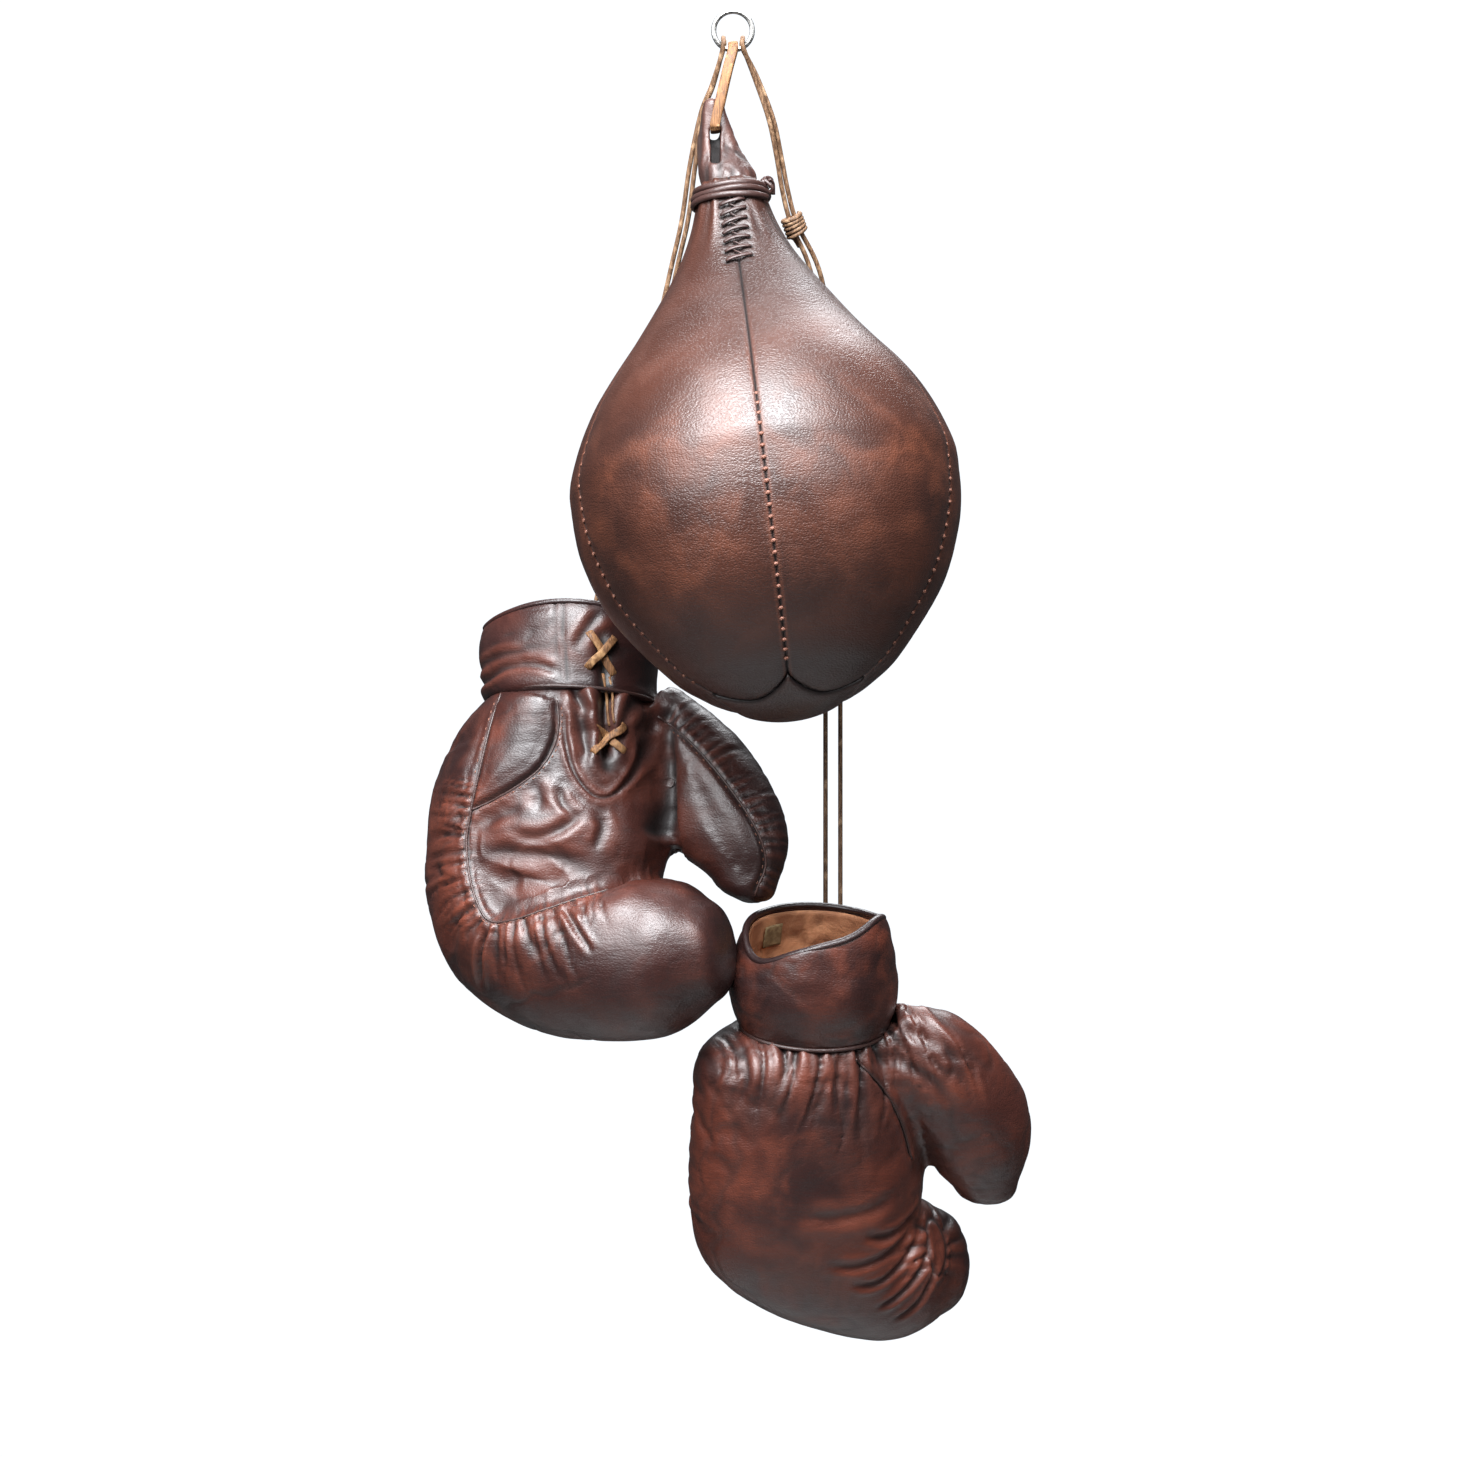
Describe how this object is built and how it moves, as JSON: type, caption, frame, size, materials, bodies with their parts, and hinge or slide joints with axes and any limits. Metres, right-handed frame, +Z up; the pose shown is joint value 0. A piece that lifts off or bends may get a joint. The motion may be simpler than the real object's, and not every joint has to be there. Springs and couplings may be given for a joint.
{
  "type": "speed bag and boxing gloves",
  "caption": "Pear-shaped leather speed bag with a pair of lace-up boxing gloves, all hung from one steel ring on leather laces.",
  "frame": {"origin": "top inside of the hanging ring, where a hook or peg carries it", "axes": "+Z up; the front, with the bag's laced seam, faces -Y; +X to the right seen from the front"},
  "size_m": [0.3856, 0.3369, 0.8412],
  "materials": {
    "steel": "satin",
    "oxblood_leather": "satin",
    "tan_leather": "matte",
    "lining": "matte",
    "horsehair": "matte",
    "rubber": "matte"
  },
  "bodies": {
    "hanging_ring": {"hanging_ring": "steel"},
    "bag_thong": {"bag_thong": "tan_leather"},
    "bag": {"bag_bladder": "rubber", "bag_bottom_cap": "oxblood_leather", "bag_hood": "oxblood_leather", "bag_neck_binding": "oxblood_leather", "bag_panel_1": "oxblood_leather", "bag_panel_2": "oxblood_leather", "bag_panel_3": "oxblood_leather", "bag_panel_4": "oxblood_leather", "bag_panel_5": "oxblood_leather", "bag_throat_lacing": "oxblood_leather", "bag_valve_stem": "rubber"},
    "left_cord": {"left_glove_cord": "tan_leather"},
    "left_glove": {"left_cuff": "oxblood_leather", "left_cuff_lining": "tan_leather", "left_mitt_shell": "oxblood_leather", "left_mitt_padding": "horsehair", "left_mitt_lining": "lining", "left_thumb_shell": "oxblood_leather", "left_thumb_stuffing": "horsehair", "left_welt": "oxblood_leather", "left_mouth_binding": "oxblood_leather", "left_wrist_patch": "oxblood_leather", "left_palm_panel": "oxblood_leather", "left_thumb_panel": "oxblood_leather", "left_upper_lace_cross": "tan_leather", "left_lower_lace_cross": "tan_leather"},
    "right_cord": {"right_glove_cord": "tan_leather", "right_cord_knot": "tan_leather"},
    "right_glove": {"right_cuff": "oxblood_leather", "right_cuff_lining": "tan_leather", "right_mitt_shell": "oxblood_leather", "right_mitt_padding": "horsehair", "right_mitt_lining": "lining", "right_thumb_shell": "oxblood_leather", "right_thumb_stuffing": "horsehair", "right_welt": "oxblood_leather", "right_mouth_binding": "oxblood_leather", "right_wrist_patch": "oxblood_leather", "right_palm_panel": "oxblood_leather", "right_thumb_panel": "oxblood_leather", "right_upper_lace_cross": "tan_leather", "right_lower_lace_cross": "tan_leather", "right_cuff_label": "lining"}
  },
  "joints": [
    {"name": "thong_pitch", "type": "hinge", "parent": "hanging_ring", "child": "bag_thong", "pos_m": [0, 0, -0.0224], "axis": [-1, 0, 0], "range_deg": [0, 40]},
    {"name": "bag_swing", "type": "hinge", "parent": "bag_thong", "child": "bag", "pos_m": [-0.011, 0, -0.072], "axis": [0, -1, 0], "range_deg": [0, 20]},
    {"name": "left_lace_swing", "type": "hinge", "parent": "hanging_ring", "child": "left_cord", "pos_m": [-0.006, 0, -0.0208], "axis": [0, 1, 0], "range_deg": [0, 25]},
    {"name": "left_glove_tilt", "type": "hinge", "parent": "left_cord", "child": "left_glove", "pos_m": [-0.0835, 0.0695, -0.368], "axis": [1, 0, 0], "range_deg": [-8, 12]},
    {"name": "right_lace_swing", "type": "hinge", "parent": "hanging_ring", "child": "right_cord", "pos_m": [0.006, 0, -0.0208], "axis": [0, -1, 0], "range_deg": [0, 25]},
    {"name": "right_glove_tilt", "type": "hinge", "parent": "right_cord", "child": "right_glove", "pos_m": [0.064, 0.084, -0.578], "axis": [1, 0, 0], "range_deg": [-4, 20]}
  ]
}
